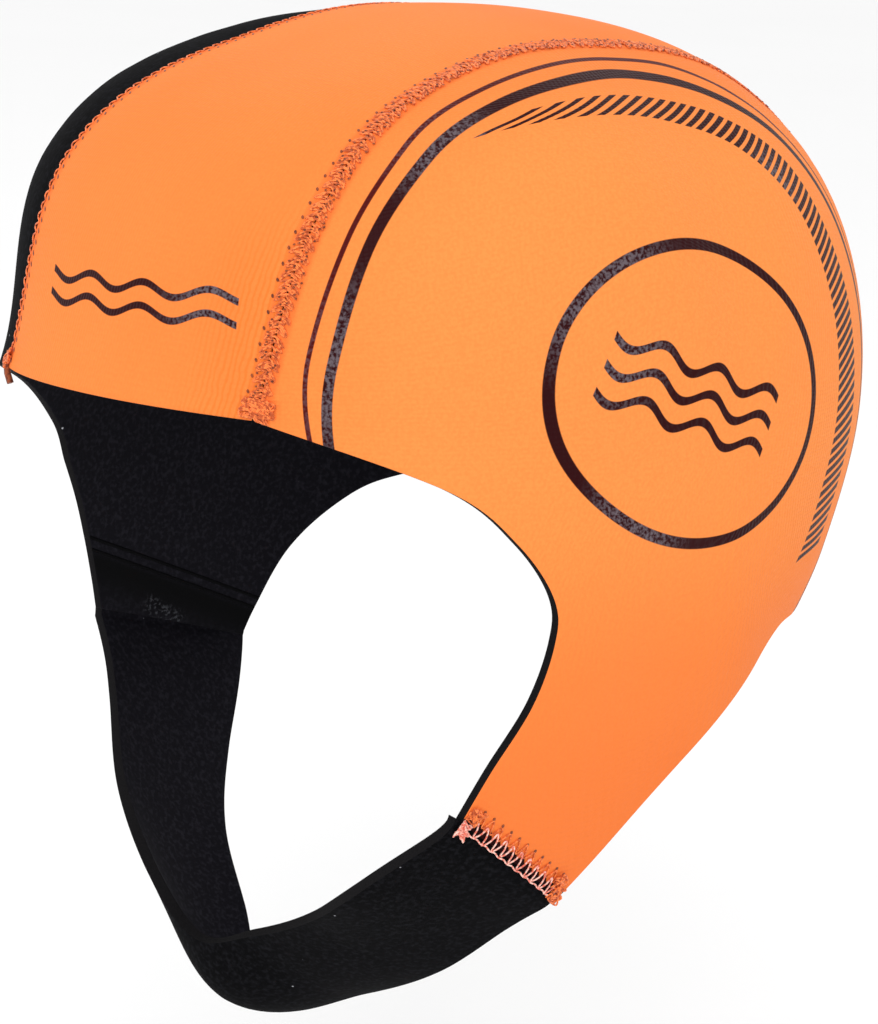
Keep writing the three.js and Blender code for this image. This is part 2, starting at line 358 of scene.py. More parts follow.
def far_lining():
    """Lining of the far panel, with the two rows of the flap's join, painted shade under them, and
    the tape's fibres.
    """
    recipe = Recipe("far_lining", 0.8, Specular_IOR_Level=0.08)
    _, y, z = recipe.parts(recipe.place())
    along, up, _ = recipe.parts(flat_view(recipe, y, z, *FLAP_ROWS))
    rows = recipe.math("SUBTRACT", recipe.math("ABSOLUTE", up), FLAP_ROW_GAP / 2 * MM)
    rows = recipe.band(rows, 0.35 * MM, 0.2 * MM)
    # Painted shade: a darker band just under the rows, where the join makes a step.
    step_shade = recipe.math("MULTIPLY", recipe.fade(up, 0.0, -0.003), recipe.fade(up, -0.016, -0.004))
    lining = black_ground(recipe, LINING, LINING_WORN)
    ground = recipe.mix(recipe.math("MAXIMUM", rows, step_shade), lining, BLACK)
    along, up, _ = recipe.parts(flat_view(recipe, y, z, *FIBRES))
    sides = recipe.band(along, FIBRE_REACH[0] * MM, 1.5 * MM)
    patch = recipe.math("MULTIPLY", sides, recipe.band(up, FIBRE_REACH[1] * MM, 1.2 * MM))
    strands = recipe.fade(recipe.noise(1100.0, 2.0), 0.5, 0.66)
    ground = recipe.mix(recipe.math("MULTIPLY", patch, strands), ground, FIBRE_GREY)
    return recipe.finish(ground, None, recipe.bump(rows, 1.0, 0.0005))


# %% Cut edge of the foam
FOAM_DEEP = (0.003, 0.003, 0.0035, 1)
FOAM_LIGHT = (0.012, 0.011, 0.012, 1)


def foam_edge():
    recipe = Recipe("foam_edge", 0.85, Specular_IOR_Level=0.05)
    cells = recipe.noise(2500.0, 3.0)
    color = recipe.mix(cells, FOAM_DEEP, FOAM_LIGHT)
    return recipe.finish(color, None, recipe.bump(cells, 0.5, 0.0002))


BLACK_JERSEY = black_jersey("black_jersey", BLACK, BLACK_WORN, 0.03)
LINING_JERSEY = black_jersey("lining_jersey", LINING, LINING_WORN, 0.08)
FOAM_EDGE = foam_edge()

# %% [markdown]
# ## Edges of the side panels
# A side panel is cut with two free edges, before and behind the ear, that run down to the end of
# its flap. A few places of the side view, y and z from the head's centre, give each edge, and a
# smooth curve joins them. The near flap's end is where the strap is sewn on.

# %% Edges of the side panels
LEFT_FRONT = [
    (-61.5, -2), (-50, -12), (-42.5, -23.5), (-42, -32),
    (-46, -44), (-54, -56.5), (-59.5, -66.5),
]
LEFT_REAR = [
    (62, -44), (47, -45), (33, -44), (18.5, -51),
    (3.5, -60.5), (-11, -71), (-25, -83), (-32, -89),
]
RIGHT_FRONT = [(-69, -11), (-55, -24), (-50, -35), (-46, -45), (-43, -56), (-41, -66), (-40, -73)]
RIGHT_REAR = [(62, -43), (44, -46.5), (31, -51.5), (16, -64.5), (5.5, -79), (1, -86)]
SEAM_FADE = 2.5


def even_edge(rows, share):
    """Point of a smooth edge at a share of its length."""
    dense = spline(rows, np.linspace(0, len(rows) - 1, 200))
    length = np.concatenate([[0], np.cumsum(np.linalg.norm(np.diff(dense, axis=0), axis=1))])
    return np.stack([np.interp(share, length / length[-1], dense[:, k]) for k in (0, 1)], -1)


def end_path():
    """The end of the near flap, where the strap is sewn on."""
    front, rear = np.array(LEFT_FRONT[-1], float), np.array(LEFT_REAR[-1], float)
    places = front + (rear - front) * np.linspace(0, 1, 40)[:, None]
    return point_on_side(1, *places.T)


END_STEPS = np.linalg.norm(np.diff(end_path(), axis=0), axis=1)
print("the near flap's end is", round(END_STEPS.sum(), 1), "mm long")

# %% [markdown]
# ## The print
# The near side panel carries a thin and a thick line that follow the crown, a row of slanted
# ticks round the ear, and a ring. They are printed, so they belong to the material: each vertex
# of the panel gets its distance to each line as an attribute, and the material turns that into
# sharp edges. The ring holds three short rows of plain waves, and the brow two.

# %% Sizes of the print
PRINT_STEP = 15
PRINT_ROWS = [
    dict(at=0, thin=81.1, thick=78.9, top=94, foot=93, top_tick=-14, foot_tick=-12),
    dict(at=15, thin=84.4, thick=81.4, top=91, foot=90, top_tick=-10.5, foot_tick=-8),
    dict(at=30, thin=86.6, thick=84, top=87, foot=86, top_tick=-7, foot_tick=-4.4),
    dict(at=45, thin=84.5, thick=82.2, top=83.5, foot=81.8, top_tick=-3.5, foot_tick=-0.8),
    dict(at=60, thin=79.3, thick=77.4, top=75.8, foot=74, top_tick=0.1, foot_tick=2.85),
    dict(at=75, thin=75.5, thick=73.4, top=70.8, foot=67.8, top_tick=3.6, foot_tick=6.6),
    dict(at=90, thin=73.5, thick=71.2, top=67.4, foot=63.4, top_tick=8.2, foot_tick=11.6),
    dict(at=105, thin=73.5, thick=70.2, top=65.7, foot=60.4, top_tick=15.1, foot_tick=18.2),
    dict(at=120, thin=71.7, thick=68.7, top=63.2, foot=54.9, top_tick=23.9, foot_tick=27),
    dict(at=135, thin=69, thick=65.8, top=57.3, foot=48.2, top_tick=33.1, foot_tick=34.8),
    dict(at=150, thin=66, thick=63, top=54.2, foot=43.9, top_tick=40.2, foot_tick=41),
    dict(at=165, thin=65, thick=62, top=52.3, foot=41.1, top_tick=46.6, foot_tick=46.1),
    dict(at=180, thin=64.5, thick=61.5, top=52, foot=39.8, top_tick=51.9, foot_tick=50.8),
    dict(at=195, thin=65, thick=62, top=51.5, foot=39.5, top_tick=57.5, foot_tick=55.3),
    dict(at=210, thin=66, thick=63, top=52.5, foot=41, top_tick=62.9, foot_tick=59.6),
    dict(at=225, thin=67, thick=64, top=53.5, foot=43, top_tick=68.3, foot_tick=64),
]
THIN_LINE = 0.9
THICK_LINE = 2.05
LINE_SPAN = (-20, 235)
LINE_SWELL = 0.75
SWELL_AT = 85
SWELL_REACH = 35
LAST_TICK = 63.5
TICK_SPAN = (45, 226)
OFF_THE_ROW = -9
RING_CENTRE = (-9.0, 13.5)
RING_RADII = (37.3, 28.5)
RING_TILT = math.radians(-22.3)
RING_LINE = 2.2
RING_SWELL = 0.14
RING_THICK_AT = math.radians(200)
STITCH_PITCH = 2.9
print("print:", len(PRINT_ROWS), "rows, ring of", 2 * RING_RADII[0], "by", 2 * RING_RADII[1], "mm")


def round_head(degrees):
    """Directions of the side view counted on past the nape, instead of back from -180."""
    return np.mod(np.asarray(degrees, float) + 90, 360) - 90


def print_column(name, degrees):
    return spline([row[name] for row in PRINT_ROWS], round_head(degrees) / PRINT_STEP)


# %% [markdown]
# A line on a curved panel is a path of short steps, and a vertex's distance to it is the least
# of its distances to the steps. A sign tells the outside of a line from its inside, so that the
# value runs through zero on the line. It stays on one side where the line doesn't reach.

# %% Distances to the printed lines
SEAM_POINTS = 240


def nearest_on(points, path):
    """Distance from each point to a path, and the length along the path to the nearest place."""
    starts, steps = path[:-1], np.diff(path, axis=0)
    lengths = np.linalg.norm(steps, axis=1)
    runs = np.concatenate([[0], np.cumsum(lengths)])[:-1]
    distance = np.full(len(points), 1e9)
    run = np.zeros(len(points))
    for start, step, length, base in zip(starts, steps, lengths, runs):
        share = np.clip((points - start) @ step / length**2, 0, 1)
        gap = np.linalg.norm(points - start - share[:, None] * step, axis=1)
        closer = gap < distance
        distance[closer] = gap[closer]
        run[closer] = (base + share * length)[closer]
    return distance, run


def seam_path(name):
    degrees = np.linspace(BROW_ANGLE[name], NAPE_ANGLE, SEAM_POINTS)
    x = form_column(name, degrees) * (1 if name == "left" else -1)
    return point_at_seam(x, degrees)


def seam_distance(name, points):
    return nearest_on(points, seam_path(name))[0]


# %% Values of the print
def line_distance(name, points):
    """Distance to a line that follows the crown, in millimetres: positive outside of it."""
    along = np.linspace(*LINE_SPAN, 160)
    line, angle = print_column(name, along), np.radians(along)
    path = point_on_side(1, -line * np.cos(angle), line * np.sin(angle))
    distance, _ = nearest_on(points, path)
    _, y, z = points.T
    turned = round_head(direction_of(y, z))
    over_the_head = (turned > LINE_SPAN[0]) & (turned < LINE_SPAN[1])
    outside = (np.hypot(y, z) > print_column(name, turned)) & over_the_head
    swell = 1 + LINE_SWELL * np.exp(-(((turned - SWELL_AT) / SWELL_REACH) ** 2))
    return np.where(outside, distance, -distance) / swell


def tick_values(points):
    """Share of the way across the row of ticks, and the count of ticks along it."""
    _, y, z = points.T
    turned = round_head(direction_of(y, z))
    foot, top, foot_tick, top_tick = (
        print_column(name, turned) for name in ("foot", "top", "foot_tick", "top_tick")
    )
    across = np.clip((np.hypot(y, z) - foot) / (top - foot), -2, 3)
    within = (turned > TICK_SPAN[0]) & (turned < TICK_SPAN[1])
    return np.where(within, across, OFF_THE_ROW), foot_tick + (top_tick - foot_tick) * across


def ring_distance(points):
    """Distance to the ring, an oval that is turned and grows thicker to one side."""
    _, y, z = points.T
    dy, dz = y - RING_CENTRE[0], z - RING_CENTRE[1]
    long_way = dy * math.cos(RING_TILT) + dz * math.sin(RING_TILT)
    short_way = dz * math.cos(RING_TILT) - dy * math.sin(RING_TILT)
    oval = np.hypot(long_way / RING_RADII[0], short_way / RING_RADII[1])
    slope = np.hypot(long_way / RING_RADII[0] ** 2, short_way / RING_RADII[1] ** 2)
    swell = 1 + RING_SWELL * np.cos(np.arctan2(dz, dy) - RING_THICK_AT)
    return np.clip((oval - 1) * np.maximum(oval, 0.01) / slope / swell, -20, 20)


def print_values(points):
    """The attributes of the near side panel that its print is drawn from."""
    values = {name: line_distance(name, points) for name in ("thin", "thick")}
    values["tick_across"], values["tick"] = tick_values(points)
    values["seam"] = seam_distance("left", points)
    values["ring"] = ring_distance(points)
    values["end"], values["end_run"] = nearest_on(points, end_path())
    return values


# %% [markdown]
# ## Shaping the panels
# Each panel starts as a flat grid, and every vertex then moves to its place on the head form.
# That gives an even mesh and lets the cloth keep its own coordinates, the run along the panel
# and the way across it, as a UV map. A Solidify modifier gives the wall and a Bevel its soft rim.

# %% A cloth panel from a grid
def flat_cloth(points):
    """Cloth coordinates of a side panel: the form unrolled round the ear, in metres."""
    x, y, z = points.T
    radius = np.hypot(y, z)
    reach = form_column("reach", direction_of(y, z))
    turned = np.arccos(np.clip(np.abs(x) / HALF_WIDTH, 0, 1)) * (HALF_WIDTH + reach) / 2
    share = turned / np.maximum(radius, 1)
    return np.stack([y * share, z * share], 1) * MM


def cloth_panel(name, steps, place, cloth, materials, values=None, wall=WALL, rim=0.6):
    """A wall of cloth: its outer skin from a grid, its thickness and soft rim from modifiers."""
    bm = bmesh.new()
    bmesh.ops.create_grid(bm, x_segments=steps[0], y_segments=steps[1], size=0.5)
    shares = np.array([vert.co.to_tuple()[:2] for vert in bm.verts]) + 0.5
    points = place(shares[:, 0], shares[:, 1])
    uv_layer = bm.loops.layers.uv.new("cloth")
    uv = cloth(points) if callable(cloth) else shares * np.array(cloth) * MM
    numbers = {vert: k for k, vert in enumerate(bm.verts)}
    for vert, point in zip(bm.verts, in_row_frame(points)):
        vert.co = point
    for face in bm.faces:
        face.smooth = True
        for loop in face.loops:
            loop[uv_layer].uv = uv[numbers[loop.vert]]
    bm.normal_update()
    bm.faces.ensure_lookup_table()
    middle = bm.faces[len(bm.faces) // 2]
    centre = Vector(in_row_frame([[0, 0, 0]])[0])
    if middle.normal.dot(middle.calc_center_median() - centre) < 0:
        bmesh.ops.reverse_faces(bm, faces=bm.faces)
    mesh = bpy.data.meshes.new(name)
    bm.to_mesh(mesh)
    bm.free()
    for key, column in (values(points) if values else {}).items():
        attribute = mesh.attributes.new(key, "FLOAT", "POINT")
        attribute.data.foreach_set("value", column.astype(np.float32))
    piece = bpy.data.objects.new(name, mesh)
    bpy.context.scene.collection.objects.link(piece)
    for material in materials:
        mesh.materials.append(material)
    add_wall(piece, wall, rim)
    area = sum(face.area for face in mesh.polygons)
    print(name, len(mesh.vertices), "vertices,", round(area * 1e4, 1), "square centimetres")
    return piece


# %% Wall and rim from modifiers
def add_wall(piece, wall, rim):
    """Thickness inwards, the lining's and the edge's materials, and a soft rim."""
    solidify = piece.modifiers.new("wall", "SOLIDIFY")
    solidify.thickness = wall * MM
    solidify.offset = -1
    solidify.material_offset = 1
    solidify.material_offset_rim = 2
    bevel = piece.modifiers.new("rim", "BEVEL")
    bevel.width = rim * MM
    bevel.segments = 3
    bevel.limit_method = "ANGLE"
    bevel.angle_limit = math.radians(60)


# %% [markdown]
# A side panel's places are worked out in the side view: between the two free edges at each share
# of the way down, and bent to the seam at its top. The form then gives each place its depth.

# %% Places on a side panel
def side_place(name, front_rows, rear_rows):
    """Place function of a side panel: u from the front edge to the rear, v from seam to end."""
    side = 1 if name == "left" else -1

    def seam(u):
        degrees = BROW_ANGLE[name] + (NAPE_ANGLE - BROW_ANGLE[name]) * u
        return point_at_seam(form_column(name, degrees) + CLOTH_GAP, degrees)[:, 1:]

    ends = seam(np.array([0.0, 1.0]))

    def place(u, v):
        front = even_edge([tuple(ends[0])] + front_rows, v)
        rear = even_edge([tuple(ends[1])] + rear_rows, v)
        between = front + (rear - front) * u[:, None]
        straight = ends[0] + (ends[1] - ends[0]) * u[:, None]
        places = between + (seam(u) - straight) * (1 - v[:, None]) ** SEAM_FADE
        return point_on_side(side, places[:, 0], places[:, 1])

    return place


# %% [markdown]
# ## Printed jersey
# The print looks screen-printed: a dark maroon ink that lies a little proud of the knit, with a
# greyish grain painted on as a highlight at the spots where the light strikes it. The near panel's
# material is the orange jersey with that ink mixed in wherever one of the masks is 1. At the flap's
# end the bare edge shows in small teeth between the stitches.

# %% Colours and sizes of the ink
INK = (0.026, 0.0008, 0.0016, 1.0)
INK_RED = (0.11, 0.004, 0.003, 1.0)
# Grey of the painted highlight on the ink, and the spots where it lies.
INK_GRAINY_GLINT = (0.13, 0.1, 0.115, 1.0)
GLINTS = [
    dict(x=78, y=-36, z=38, size=24),
    dict(x=83, y=-23.5, z=-9, size=17),
    dict(x=81, y=-31, z=25, size=17),
    dict(x=55.5, y=-77.5, z=20, size=22),
    dict(x=51, y=-55.5, z=61, size=17),
    dict(x=68, y=22, z=51, size=11),
    dict(x=37, y=-88.5, z=30, size=22),
]
BARE_EDGE = (0.02, 0.002, 0.003, 1.0)
WAVE_LENGTH = 16.0
TICK_WIDTH = (0.23, 0.3)
EMBLEM_WAVES = dict(half_length=24.0, lines=3, gap=5.6, height=1.6, line=1.8)
FRONT_WAVES = dict(half_length=26.0, lines=2, gap=4.4, height=1.1, line=1.4)


# %% Waves and ticks
def wave_mask(recipe, flat, half_length, lines, gap, height, line):
    """Short rows of plain waves, drawn on a mapping's two flat coordinates in metres."""
    along, up, _ = (recipe.math("DIVIDE", part, MM) for part in recipe.parts(flat))
    swing = recipe.math("SINE", recipe.math("MULTIPLY", along, 2 * math.pi / WAVE_LENGTH))
    offset = recipe.math("SUBTRACT", up, recipe.math("MULTIPLY", swing, height))
    reach = (lines - 1) / 2 * gap
    row = recipe.math("PINGPONG", recipe.math("ADD", offset, reach + 10 * gap), gap / 2)
    mask = recipe.band(row, line / 2)
    mask = recipe.math("MULTIPLY", mask, recipe.band(offset, reach + gap / 2))
    return recipe.math("MULTIPLY", mask, recipe.band(along, half_length))


def tick_mask(recipe):
    """Slanted ticks: one round each whole number of the tick count, wider after the first ones."""
    tick = recipe.value("tick")
    turn = recipe.math("FRACT", recipe.math("ADD", tick, 100.5))
    middle = recipe.math("SUBTRACT", turn, 0.5)
    width = recipe.fade(tick, 1.0, 16.0, *TICK_WIDTH)
    inside = recipe.math("SUBTRACT", recipe.math("ABSOLUTE", middle), width)
    mask = recipe.fade(inside, 0.04, -0.04)
    ends = recipe.band(recipe.math("SUBTRACT", recipe.value("tick_across"), 0.5), 0.5, 0.02)
    started = recipe.fade(tick, 0.5, 0.55)
    ended = recipe.fade(tick, LAST_TICK + 0.05, LAST_TICK)
    row = recipe.math("MULTIPLY", started, ended)
    return recipe.math("MULTIPLY", recipe.math("MULTIPLY", mask, ends), row)


# %% Ink over the jersey
def inked(recipe, ground, mask):
    """Colour and roughness of the jersey with ink where the mask is 1, with a painted highlight on
    the ink.
    """
    grain = recipe.fade(recipe.noise(1500.0, 2.0), 0.36, 0.66)
    # Painted highlight: at the listed glint spots the ink turns a grainy grey, as where the light
    # strikes it.
    patch = None
    for glint in GLINTS:
        spot = Vector((glint["x"], glint["y"], glint["z"] - CROWN_RISE)) * MM
        ends = {0: recipe.place(), 1: spot}
        away = recipe.add("ShaderNodeVectorMath", 1, ends, operation="DISTANCE")
        near = recipe.fade(away, glint["size"] * MM, 0.3 * glint["size"] * MM)
        patch = recipe.math("MAXIMUM", patch, near) if patch else near
    ink = recipe.mix(recipe.math("MULTIPLY", grain, patch), INK, INK_GRAINY_GLINT)
    return recipe.mix(mask, ground, ink), recipe.fade(mask, 0.0, 1.0, 0.62, 0.42)


# %% Printed jersey of the crown and of the near panel
PULLED_RIB = 1.05
RIB_SHADE = (0.7, 0.17, 0.02, 1.0)
EMBLEM = ((-11.5, 14.0), -20.5)
FRONT_MARK = ((12.0, 26.5), 4.7)


def stretched_ribs(recipe, x, z):
    """Ribs of the knit that show where the crown is pulled to the near seam, over the brow."""
    _, across, _ = recipe.parts(recipe.cloth())
    wander = recipe.math("MULTIPLY", recipe.noise(260.0, 3.0), 9.0)
    turns = recipe.math("MULTIPLY", across, 2 * math.pi / (PULLED_RIB * MM))
    ribs = recipe.fade(recipe.math("SINE", recipe.math("ADD", turns, wander)), -0.2, 0.9)
    by_seam = recipe.fade(recipe.value("seam"), 22, 5)
    by_seam = recipe.math("MULTIPLY", by_seam, recipe.fade(x, 0.012, 0.03))
    low = recipe.fade(z, -0.022, -0.045)
    return recipe.math("MULTIPLY", recipe.math("MULTIPLY", ribs, by_seam), low)


def crown_jersey():
    recipe = Recipe("crown_jersey", 0.62, **JERSEY_LOOK)
    x, y, z = recipe.parts(recipe.place())
    ribs = recipe.math("MULTIPLY", stretched_ribs(recipe, x, z), 0.55)
    ground = recipe.mix(ribs, jersey_color(recipe), RIB_SHADE)
    mask = wave_mask(recipe, flat_view(recipe, x, z, *FRONT_MARK), **FRONT_WAVES)
    mask = recipe.math("MULTIPLY", mask, recipe.fade(y, -0.05, -0.055))
    color, roughness = inked(recipe, ground, mask)
    knit = recipe.bump(knit_height(recipe), 0.25, 0.00012)
    return recipe.finish(color, roughness, recipe.bump(mask, 0.5, 0.0001, knit))


def printed_jersey():
    recipe = Recipe("printed_jersey", 0.62, **JERSEY_LOOK)
    thin = recipe.band(recipe.value("thin"), THIN_LINE / 2)
    mask = recipe.math("MAXIMUM", thin, recipe.band(recipe.value("thick"), THICK_LINE / 2))
    mask = recipe.math("MAXIMUM", mask, recipe.band(recipe.value("ring"), RING_LINE / 2))
    mask = recipe.math("MAXIMUM", mask, tick_mask(recipe))
    _, y, z = recipe.parts(recipe.place())
    waves = wave_mask(recipe, flat_view(recipe, y, z, *EMBLEM), **EMBLEM_WAVES)
    mask = recipe.math("MAXIMUM", mask, waves)
    color, roughness = inked(recipe, jersey_color(recipe), mask)
    knit = recipe.bump(knit_height(recipe), 0.25, 0.00012)
    stitch = recipe.math("DIVIDE", recipe.value("end_run"), STITCH_PITCH)
    teeth = recipe.math("MULTIPLY", recipe.math("PINGPONG", stitch, 0.5), 2.6)
    bare = recipe.fade(recipe.math("SUBTRACT", recipe.value("end"), teeth), 1.3, 0.9)
    color = recipe.mix(recipe.math("MULTIPLY", thin, 0.6), color, INK_RED)
    color = recipe.mix(bare, color, BARE_EDGE)
    return recipe.finish(color, roughness, recipe.bump(mask, 0.5, 0.0001, knit))


PRINTED_JERSEY = printed_jersey()

# %% [markdown]
# ## The three panels
# The crown panel is the strip between the two seams, from the brow to the nape. A side panel
# fills the field between its seam, its free edges and its flap's end. Each panel is cloth that
# is stretched on the head; the crown's cloth coordinates span an estimate of the size it was cut
# to.

# %% Crown panel
CROWN_STEPS = (180, 44)
CROWN_CLOTH = (290, 72)


def crown_place(u, v):
    brow = BROW_ANGLE["right"] + (BROW_ANGLE["left"] - BROW_ANGLE["right"]) * v
    degrees = brow + (NAPE_ANGLE - brow) * u
    left = form_column("left", degrees) - CLOTH_GAP
    right = CLOTH_GAP - form_column("right", degrees)
    return point_at_seam(right + (left - right) * v, degrees)


def crown_values(points):
    return dict(seam=np.minimum(seam_distance("left", points), seam_distance("right", points)))


crown_materials = [crown_jersey(), LINING_JERSEY, FOAM_EDGE]
crown = cloth_panel(
    "crown_jersey", CROWN_STEPS, crown_place, CROWN_CLOTH, crown_materials, crown_values
)
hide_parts("crown_panel")
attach(crown, "root")

# %% Near side panel
SIDE_STEPS = (150, 110)
left_place = side_place("left", LEFT_FRONT, LEFT_REAR)
near_materials = [PRINTED_JERSEY, LINING_JERSEY, FOAM_EDGE]
near_panel = cloth_panel(
    "near_panel_jersey", SIDE_STEPS, left_place, flat_cloth, near_materials, print_values
)
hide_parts("left_panel")
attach(near_panel, "root")

# %% Far side panel
right_place = side_place("right", RIGHT_FRONT, RIGHT_REAR)
far_materials = [BLACK_JERSEY, far_lining(), FOAM_EDGE]
far_panel = cloth_panel("far_panel_jersey", SIDE_STEPS, right_place, flat_cloth, far_materials)
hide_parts("right_panel")
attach(far_panel, "root")

# %% [markdown]
# ## The chin strap
# The strap is one band of the same foam. It is sewn to the end of the near flap, hangs free
# under the chin in a shallow trough, and lies on the outside of the far flap, on its hook tape.
# Its sections are the frame's own: two edge points and a bulge between them.

# %% Sections of the strap
PATCH_CLEARANCE = 0.3
PATCH_THICKNESS = 1.2
STRAP_LIFT = PATCH_CLEARANCE + PATCH_THICKNESS + PATCH_CLEARANCE + WALL / 2
HOLD_FADE = 4
SKIN_STEP = 0.004
STRAP_JOINT = (-0.05, 0.95)
STRAP_SECTIONS = [
    dict(front=(55, -67.5, -88.5), rear=(64.5, -32.5, -100), bow=0.5),
    dict(front=(35, -62.5, -103.5), rear=(46.5, -34, -117), bow=1.5),
    dict(front=(15.5, -60.5, -115), rear=(23.5, -34.5, -132), bow=3.5),
    dict(front=(-2.5, -61.5, -123), rear=(-2, -41, -144.5), bow=5.5),
    dict(front=(-24, -59, -117), rear=(-25, -32.5, -132.5), bow=4.5),
    dict(front=(-47, -53, -105), rear=(-44.5, -25, -121), bow=2),
    dict(front=(-66, -43.5, -91), rear=(-61.5, -12.5, -109), bow=0.5),
]
STRAP_ON_FLAP = [
    dict(front=(-37, -76), rear=(3, -87)),
    dict(front=(-38, -56), rear=(4, -66)),
    dict(front=(-40, -38), rear=(6, -46)),
]


def strap_sections():
    front, rear = np.array(LEFT_FRONT[-1], float), np.array(LEFT_REAR[-1], float)
    end = rear - front
    away = np.array([end[1], -end[0]]) / np.linalg.norm(end) * CLOTH_GAP
    sewn = [front + end * share + away for share in STRAP_JOINT]
    sections = [dict(front=sewn[0], rear=sewn[1], held=1, side=1)]
    for row in STRAP_SECTIONS:
        near_side = row["front"][0] + row["rear"][0] > 0
        sections.append(dict(row, held=0, side=1 if near_side else -1))
    sections += [dict(row, held=1, side=-1) for row in STRAP_ON_FLAP]
    for row in sections:
        if row["held"]:
            row["bow"] = 0
            for edge in ("front", "rear"):
                row[edge] = point_on_side(row["side"], *row[edge])
        row["lift"] = -WALL / 2 if row["front"][0] > 0 else STRAP_LIFT
    return sections


# %% [markdown]
# Where the strap hangs free its surface is drawn between its two edges, with a bulge across.
# Where it is held it lies on the form, at its own height. A weight blends the one into the other,
# and both skins then stand half a wall from that middle sheet.

# %% Middle sheet of the strap
def strap_middle(sections, u, v):
    """Points of the strap's middle sheet at shares u of its length and v of its width."""
    last = len(sections) - 1
    names = ("front", "rear", "bow", "held", "side", "lift")
    column = {name: np.array([row[name] for row in sections], float) for name in names}
    place = u * last
    front, rear = spline(column["front"], place), spline(column["rear"], place)
    ahead, behind = np.minimum(place + 0.01, last), np.maximum(place - 0.01, 0)
    edges = [column["front"], column["rear"]]
    forward = sum(spline(edge, ahead) - spline(edge, behind) for edge in edges)
    outward = np.cross(forward, rear - front)
    outward /= np.linalg.norm(outward, axis=1, keepdims=True)
    bow, held = (np.interp(place, range(last + 1), column[name]) for name in ("bow", "held"))
    bulge = bow * 4 * v * (1 - v)
    free = front + (rear - front) * v[:, None] + outward * bulge[:, None]
    hold = held**HOLD_FADE
    nearest = np.floor(place + 0.5).astype(int)
    on_form = point_on_side(column["side"][nearest], free[:, 1], free[:, 2])
    on_form = on_form + form_normal(on_form) * column["lift"][nearest][:, None]
    return np.where(hold[:, None] > 0, free + (on_form - free) * hold[:, None], free)


MIDDLE_LINE = strap_middle(strap_sections(), np.linspace(0, 1, 200), np.full(200, 0.5))
MIDDLE_STEPS = np.linalg.norm(np.diff(MIDDLE_LINE, axis=0), axis=1)
print("the strap is", round(MIDDLE_STEPS.sum()), "mm long along its middle")


# %% Skins of the strap
def strap_skin(height):
    """Place function of the strap's skin at a height over its middle sheet, away from the head."""
    sections = strap_sections()

    def middle(u, v):
        return strap_middle(sections, np.clip(u, 0, 1), np.clip(v, 0, 1))

    def place(u, v):
        along = middle(u + SKIN_STEP, v) - middle(u - SKIN_STEP, v)
        across = middle(u, v + SKIN_STEP) - middle(u, v - SKIN_STEP)
        normal = np.cross(along, across)
        normal /= np.linalg.norm(normal, axis=1, keepdims=True)
        return middle(u, v) + normal * height

    return place


# %% Strap
STRAP_STEPS = (200, 28)
STRAP_CLOTH = (265, 38)
outer_place = strap_skin(WALL / 2)
strap_materials = [BLACK_JERSEY, LINING_JERSEY, FOAM_EDGE]
strap = cloth_panel("strap_jersey", STRAP_STEPS, outer_place, STRAP_CLOTH, strap_materials)
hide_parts("chin_strap")
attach(strap, "root")

# %% [markdown]
# ## The hook tape
# The strap closes on a square of hook tape on the outside of the far flap. It can't be seen in
# the picture, so it stays a plain thin pad between the flap and the strap.

# %% Hook tape
PATCH_MARGIN = 0.12
PATCH_STEPS = (40, 40)
PATCH_CLOTH = (34, 34)
PATCH_RIM = 0.3


def patch_place(u, v):
    u, v = (PATCH_MARGIN + (1 - 2 * PATCH_MARGIN) * share[:, None] for share in (u, v))
    rows = (STRAP_ON_FLAP[0], STRAP_ON_FLAP[-1])
    edges = [[np.array(row[edge], float) for edge in ("front", "rear")] for row in rows]
    low, high = (front + (rear - front) * v for front, rear in edges)
    places = low + (high - low) * u
    on_form = point_on_side(-1, places[:, 0], places[:, 1])
    return on_form + form_normal(on_form) * (PATCH_CLEARANCE + PATCH_THICKNESS)


hook_materials = [BLACK_JERSEY, BLACK_JERSEY, FOAM_EDGE]
patch = cloth_panel(
    "hook_tape", PATCH_STEPS, patch_place, PATCH_CLOTH, hook_materials,
    wall=PATCH_THICKNESS, rim=PATCH_RIM,
)
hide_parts("fastener_patch")
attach(patch, "root")

# %% [markdown]
# ## Threads
# Foam is too thick to fold into a seam, so the panels are butted and a flat-lock machine ties
# them: needle threads go through both edges, and looper threads cross between them on top and
# make a flat braid that doesn't chafe. Each thread is a path along a seam line, a curve with a
# round section, and its paths swing between two distances from the line.

# %% Lines that the threads follow
class SeamLine:
    """A line on the form: its points by their run, with a side and an outward direction."""

    def __init__(self, points, toward):
        steps = np.linalg.norm(np.diff(points, axis=0), axis=1)
        self.runs = np.concatenate([[0], np.cumsum(steps)])
        self.length = self.runs[-1]
        self.points = points
        self.normals = form_normal(points)
        sides = np.cross(np.gradient(points, axis=0), self.normals)
        sides /= np.linalg.norm(sides, axis=1, keepdims=True)
        self.sides = sides * np.sign((sides @ toward).mean())

    def column(self, table, run):
        return np.stack([np.interp(run, self.runs, table[:, k]) for k in range(3)], -1)

    def at(self, run, offset, height):
        """Points beside the line, at an offset to its side and a height over the cloth."""
        measures = [np.atleast_1d(measure) for measure in (run, offset, height)]
        run, offset, height = np.broadcast_arrays(*measures)
        aside = self.column(self.sides, run) * offset[:, None]
        above = self.column(self.normals, run) * height[:, None]
        return self.column(self.points, run) + aside + above


near_seam = SeamLine(seam_path("left"), (1, 0, 0))
far_seam = SeamLine(seam_path("right"), (1, 0, 0))
joint = SeamLine(end_path(), (0, 0, -1))
for line_name, line in (("near seam", near_seam), ("far seam", far_seam), ("joint", joint)):
    print(line_name, round(line.length), "mm")

